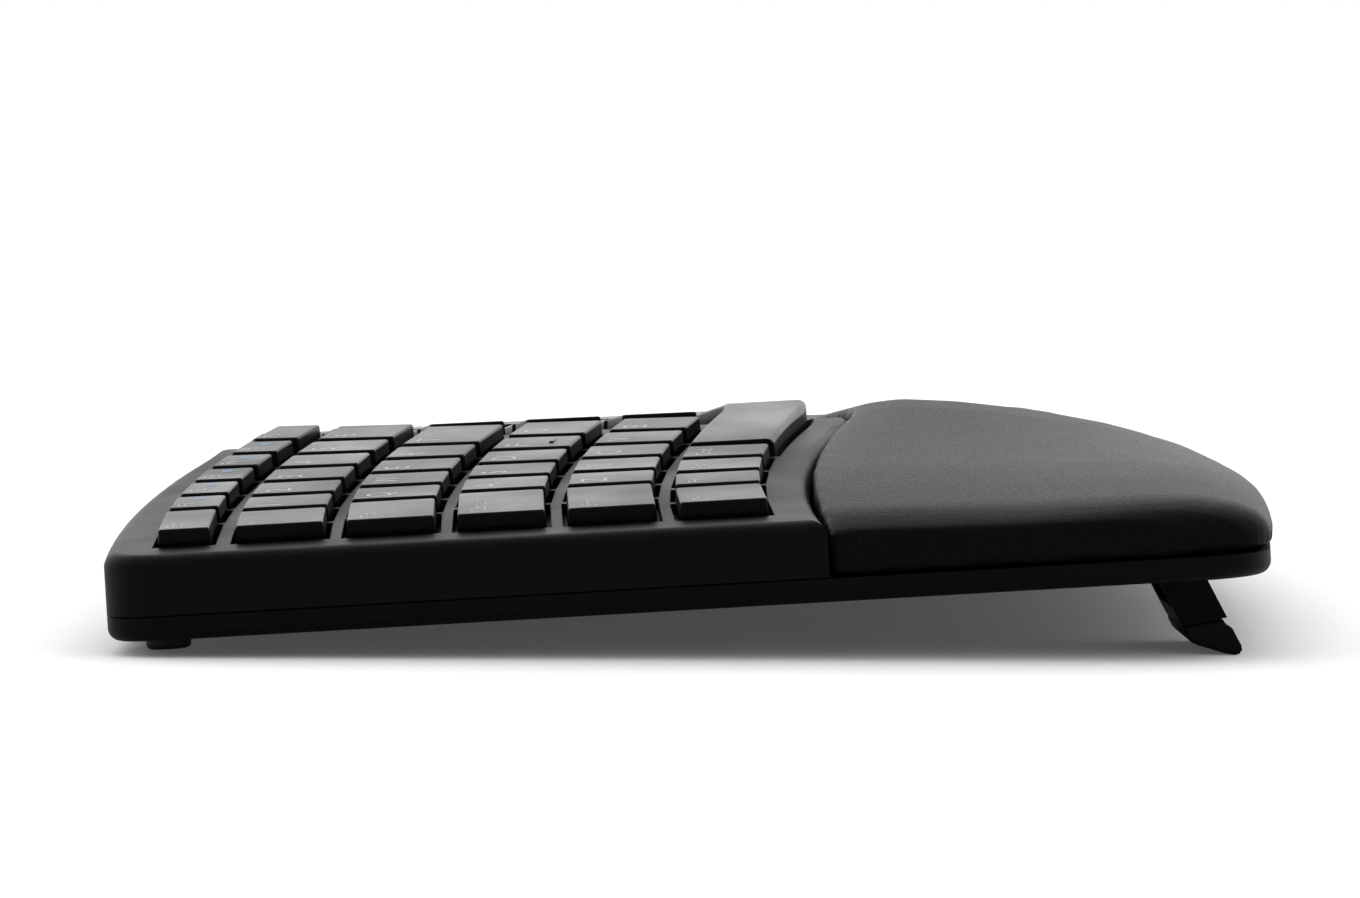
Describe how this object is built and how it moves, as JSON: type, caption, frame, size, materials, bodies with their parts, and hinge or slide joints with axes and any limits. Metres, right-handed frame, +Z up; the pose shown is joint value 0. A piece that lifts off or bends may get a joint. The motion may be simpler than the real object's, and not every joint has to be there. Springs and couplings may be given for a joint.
{
  "type": "ergonomic split keyboard",
  "caption": "Full-size domed split keyboard with curved key rows, a cushioned palm rest and two fold-out front legs that tilt it backwards.",
  "frame": {"origin": "bottom centre of the bounding box, on the desk under the feet", "axes": "+X along the rows from the left-hand keys to the number pad, +Y away from the user, +Z up"},
  "size_m": [0.4599, 0.211, 0.039],
  "materials": {
    "keycap": "fine satin brushed top",
    "shell": "fine matte",
    "base_plastic": "matte",
    "leatherette": "fine grain",
    "foot_rubber": "matte",
    "dome_rubber": "matte, translucent grey",
    "membrane_film": "clear film with printed tracks",
    "steel": "zinc plated",
    "cell_jacket": "printed sleeve",
    "circuit_board": "solder mask",
    "guide_plastic": "matte",
    "light_pipe": "clear"
  },
  "bodies": {
    "base": {"backing_plate": "steel", "battery_cell_front": "cell_jacket", "battery_cell_rear": "cell_jacket", "battery_contacts": "steel", "bottom_tray": "base_plastic", "case_screws": "steel", "controller_board": "circuit_board", "dome_mat": "dome_rubber", "front_feet": "foot_rubber", "key_guide": "guide_plastic", "membrane": "membrane_film", "palm_cushion": "leatherette", "palm_rest_plate": "base_plastic", "rear_feet": "foot_rubber", "status_light": "light_pipe", "top_shell": "shell"},
    "arrow_keys_body": {"arrow_keys": "keycap"},
    "backslash_key_body": {"backslash_key": "keycap"},
    "backspace_key_body": {"backspace_key": "keycap"},
    "battery_door_body": {"battery_door": "base_plastic"},
    "bottom_keys_left_body": {"bottom_keys_left": "keycap"},
    "bottom_keys_right_body": {"bottom_keys_right": "keycap"},
    "caps_lock_key_body": {"caps_lock_key": "keycap"},
    "control_key_left_body": {"control_key_left": "keycap"},
    "control_key_right_body": {"control_key_right": "keycap"},
    "enter_key_body": {"enter_key": "keycap"},
    "escape_key_body": {"escape_key": "keycap"},
    "function_keys_left_body": {"function_keys_left": "keycap"},
    "function_keys_right_body": {"function_keys_right": "keycap"},
    "g_key_body": {"g_key": "keycap"},
    "grave_key_body": {"grave_key": "keycap"},
    "h_key_body": {"h_key": "keycap"},
    "home_keys_left_body": {"home_keys_left": "keycap"},
    "home_keys_right_body": {"home_keys_right": "keycap"},
    "leg_left_body": {"leg_left": "base_plastic", "leg_tip_left": "foot_rubber"},
    "leg_right_body": {"leg_right": "base_plastic", "leg_tip_right": "foot_rubber"},
    "lower_keys_left_body": {"lower_keys_left": "keycap"},
    "lower_keys_right_body": {"lower_keys_right": "keycap"},
    "n_key_body": {"n_key": "keycap"},
    "navigation_keys_body": {"navigation_keys": "keycap"},
    "number_keys_left_body": {"number_keys_left": "keycap"},
    "number_keys_right_body": {"number_keys_right": "keycap"},
    "number_pad_enter_key_body": {"number_pad_enter_key": "keycap"},
    "number_pad_keys_body": {"number_pad_keys": "keycap"},
    "number_pad_plus_key_body": {"number_pad_plus_key": "keycap"},
    "number_pad_zero_key_body": {"number_pad_zero_key": "keycap"},
    "power_switch_body": {"power_switch": "base_plastic"},
    "shift_key_left_body": {"shift_key_left": "keycap"},
    "shift_key_right_body": {"shift_key_right": "keycap"},
    "space_bar_body": {"space_bar": "keycap"},
    "t_key_body": {"t_key": "keycap"},
    "tab_key_body": {"tab_key": "keycap"},
    "upper_keys_left_body": {"upper_keys_left": "keycap"},
    "upper_keys_right_body": {"upper_keys_right": "keycap"},
    "y_key_body": {"y_key": "keycap"}
  },
  "joints": [
    {"name": "arrow_keys_press", "type": "slide", "parent": "base", "child": "arrow_keys_body", "axis": [-0.0115, -0.0569, -0.9983], "range_m": [0, 0.0023], "stiffness_N_per_m": 1000, "deforming": ["dome_mat"]},
    {"name": "backslash_key_press", "type": "slide", "parent": "base", "child": "backslash_key_body", "axis": [-0.0663, -0.0568, -0.9962], "range_m": [0, 0.0023], "stiffness_N_per_m": 250, "deforming": ["dome_mat"]},
    {"name": "backspace_key_press", "type": "slide", "parent": "base", "child": "backspace_key_body", "axis": [-0.0676, -0.0568, -0.9961], "range_m": [0, 0.0023], "stiffness_N_per_m": 250, "deforming": ["dome_mat"]},
    {"name": "bottom_keys_left_press", "type": "slide", "parent": "base", "child": "bottom_keys_left_body", "axis": [0.0744, -0.0568, -0.9956], "range_m": [0, 0.0023], "stiffness_N_per_m": 750, "deforming": ["dome_mat"]},
    {"name": "bottom_keys_right_press", "type": "slide", "parent": "base", "child": "bottom_keys_right_body", "axis": [-0.073, -0.0568, -0.9957], "range_m": [0, 0.0023], "stiffness_N_per_m": 750, "deforming": ["dome_mat"]},
    {"name": "caps_lock_key_press", "type": "slide", "parent": "base", "child": "caps_lock_key_body", "axis": [0.0699, -0.0568, -0.9959], "range_m": [0, 0.0023], "stiffness_N_per_m": 250, "deforming": ["dome_mat"]},
    {"name": "control_key_left_press", "type": "slide", "parent": "base", "child": "control_key_left_body", "axis": [0.0694, -0.0568, -0.996], "range_m": [0, 0.0023], "stiffness_N_per_m": 250, "deforming": ["dome_mat"]},
    {"name": "control_key_right_press", "type": "slide", "parent": "base", "child": "control_key_right_body", "axis": [-0.0666, -0.0568, -0.9962], "range_m": [0, 0.0023], "stiffness_N_per_m": 250, "deforming": ["dome_mat"]},
    {"name": "enter_key_press", "type": "slide", "parent": "base", "child": "enter_key_body", "axis": [-0.0674, -0.0568, -0.9961], "range_m": [0, 0.0023], "stiffness_N_per_m": 250, "deforming": ["dome_mat"]},
    {"name": "escape_key_press", "type": "slide", "parent": "base", "child": "escape_key_body", "axis": [0.0696, -0.0568, -0.996], "range_m": [0, 0.0023], "stiffness_N_per_m": 250, "deforming": ["dome_mat"]},
    {"name": "function_keys_left_press", "type": "slide", "parent": "base", "child": "function_keys_left_body", "axis": [0.0784, -0.0567, -0.9953], "range_m": [0, 0.0023], "stiffness_N_per_m": 1500, "deforming": ["dome_mat"]},
    {"name": "function_keys_right_press", "type": "slide", "parent": "base", "child": "function_keys_right_body", "axis": [-0.0742, -0.0568, -0.9956], "range_m": [0, 0.0023], "stiffness_N_per_m": 2000, "deforming": ["dome_mat"]},
    {"name": "g_key_press", "type": "slide", "parent": "base", "child": "g_key_body", "axis": [0.0826, -0.0567, -0.995], "range_m": [0, 0.0023], "stiffness_N_per_m": 250, "deforming": ["dome_mat"]},
    {"name": "grave_key_press", "type": "slide", "parent": "base", "child": "grave_key_body", "axis": [0.0693, -0.0568, -0.996], "range_m": [0, 0.0023], "stiffness_N_per_m": 250, "deforming": ["dome_mat"]},
    {"name": "h_key_press", "type": "slide", "parent": "base", "child": "h_key_body", "axis": [-0.0825, -0.0567, -0.995], "range_m": [0, 0.0023], "stiffness_N_per_m": 250, "deforming": ["dome_mat"]},
    {"name": "home_keys_left_press", "type": "slide", "parent": "base", "child": "home_keys_left_body", "axis": [0.0766, -0.0567, -0.9954], "range_m": [0, 0.0023], "stiffness_N_per_m": 1000, "deforming": ["dome_mat"]},
    {"name": "home_keys_right_press", "type": "slide", "parent": "base", "child": "home_keys_right_body", "axis": [-0.0756, -0.0568, -0.9955], "range_m": [0, 0.0023], "stiffness_N_per_m": 1250, "deforming": ["dome_mat"]},
    {"name": "lower_keys_left_press", "type": "slide", "parent": "base", "child": "lower_keys_left_body", "axis": [0.0778, -0.0567, -0.9954], "range_m": [0, 0.0023], "stiffness_N_per_m": 1250, "deforming": ["dome_mat"]},
    {"name": "lower_keys_right_press", "type": "slide", "parent": "base", "child": "lower_keys_right_body", "axis": [-0.076, -0.0567, -0.9955], "range_m": [0, 0.0023], "stiffness_N_per_m": 1000, "deforming": ["dome_mat"]},
    {"name": "n_key_press", "type": "slide", "parent": "base", "child": "n_key_body", "axis": [-0.0821, -0.0567, -0.995], "range_m": [0, 0.0023], "stiffness_N_per_m": 250, "deforming": ["dome_mat"]},
    {"name": "navigation_keys_press", "type": "slide", "parent": "base", "child": "navigation_keys_body", "axis": [-0.0141, -0.0569, -0.9983], "range_m": [0, 0.0023], "stiffness_N_per_m": 2250, "deforming": ["dome_mat"]},
    {"name": "number_keys_left_press", "type": "slide", "parent": "base", "child": "number_keys_left_body", "axis": [0.0778, -0.0567, -0.9954], "range_m": [0, 0.0023], "stiffness_N_per_m": 1500, "deforming": ["dome_mat"]},
    {"name": "number_keys_right_press", "type": "slide", "parent": "base", "child": "number_keys_right_body", "axis": [-0.0771, -0.0567, -0.9954], "range_m": [0, 0.0023], "stiffness_N_per_m": 1500, "deforming": ["dome_mat"]},
    {"name": "number_pad_enter_key_press", "type": "slide", "parent": "base", "child": "number_pad_enter_key_body", "axis": [0, -0.0569, -0.9984], "range_m": [0, 0.0023], "stiffness_N_per_m": 250, "deforming": ["dome_mat"]},
    {"name": "number_pad_keys_press", "type": "slide", "parent": "base", "child": "number_pad_keys_body", "axis": [0, -0.0569, -0.9984], "range_m": [0, 0.0023], "stiffness_N_per_m": 4500, "deforming": ["dome_mat"]},
    {"name": "number_pad_plus_key_press", "type": "slide", "parent": "base", "child": "number_pad_plus_key_body", "axis": [0, -0.0569, -0.9984], "range_m": [0, 0.0023], "stiffness_N_per_m": 250, "deforming": ["dome_mat"]},
    {"name": "number_pad_zero_key_press", "type": "slide", "parent": "base", "child": "number_pad_zero_key_body", "axis": [0, -0.0569, -0.9984], "range_m": [0, 0.0023], "stiffness_N_per_m": 250, "deforming": ["dome_mat"]},
    {"name": "shift_key_left_press", "type": "slide", "parent": "base", "child": "shift_key_left_body", "axis": [0.0699, -0.0568, -0.9959], "range_m": [0, 0.0023], "stiffness_N_per_m": 250, "deforming": ["dome_mat"]},
    {"name": "shift_key_right_press", "type": "slide", "parent": "base", "child": "shift_key_right_body", "axis": [-0.0682, -0.0568, -0.9961], "range_m": [0, 0.0023], "stiffness_N_per_m": 250, "deforming": ["dome_mat"]},
    {"name": "space_bar_press", "type": "slide", "parent": "base", "child": "space_bar_body", "axis": [0, -0.0619, -0.9981], "range_m": [0, 0.0023], "stiffness_N_per_m": 250, "deforming": ["dome_mat"]},
    {"name": "t_key_press", "type": "slide", "parent": "base", "child": "t_key_body", "axis": [0.0824, -0.0567, -0.995], "range_m": [0, 0.0023], "stiffness_N_per_m": 250, "deforming": ["dome_mat"]},
    {"name": "tab_key_press", "type": "slide", "parent": "base", "child": "tab_key_body", "axis": [0.0696, -0.0568, -0.996], "range_m": [0, 0.0023], "stiffness_N_per_m": 250, "deforming": ["dome_mat"]},
    {"name": "upper_keys_left_press", "type": "slide", "parent": "base", "child": "upper_keys_left_body", "axis": [0.076, -0.0567, -0.9955], "range_m": [0, 0.0023], "stiffness_N_per_m": 1000, "deforming": ["dome_mat"]},
    {"name": "upper_keys_right_press", "type": "slide", "parent": "base", "child": "upper_keys_right_body", "axis": [-0.0746, -0.0568, -0.9956], "range_m": [0, 0.0023], "stiffness_N_per_m": 1500, "deforming": ["dome_mat"]},
    {"name": "y_key_press", "type": "slide", "parent": "base", "child": "y_key_body", "axis": [-0.0827, -0.0567, -0.995], "range_m": [0, 0.0023], "stiffness_N_per_m": 250, "deforming": ["dome_mat"]},
    {"name": "leg_left_fold", "type": "hinge", "parent": "base", "child": "leg_left_body", "pos_m": [-0.19942, -0.07795, 0.01746], "axis": [1, 0, 0], "range_deg": [0, 114.6]},
    {"name": "leg_right_fold", "type": "hinge", "parent": "base", "child": "leg_right_body", "pos_m": [0.19942, -0.07795, 0.01746], "axis": [1, 0, 0], "range_deg": [0, 114.6]},
    {"name": "power_switch_slide", "type": "slide", "parent": "base", "child": "power_switch_body", "axis": [1, 0, 0], "range_m": [0, 0.0025]},
    {"name": "battery_door_release", "type": "slide", "parent": "base", "child": "battery_door_body", "axis": [0, -0.0619, -0.9981], "range_m": [0, 0.006]}
  ]
}
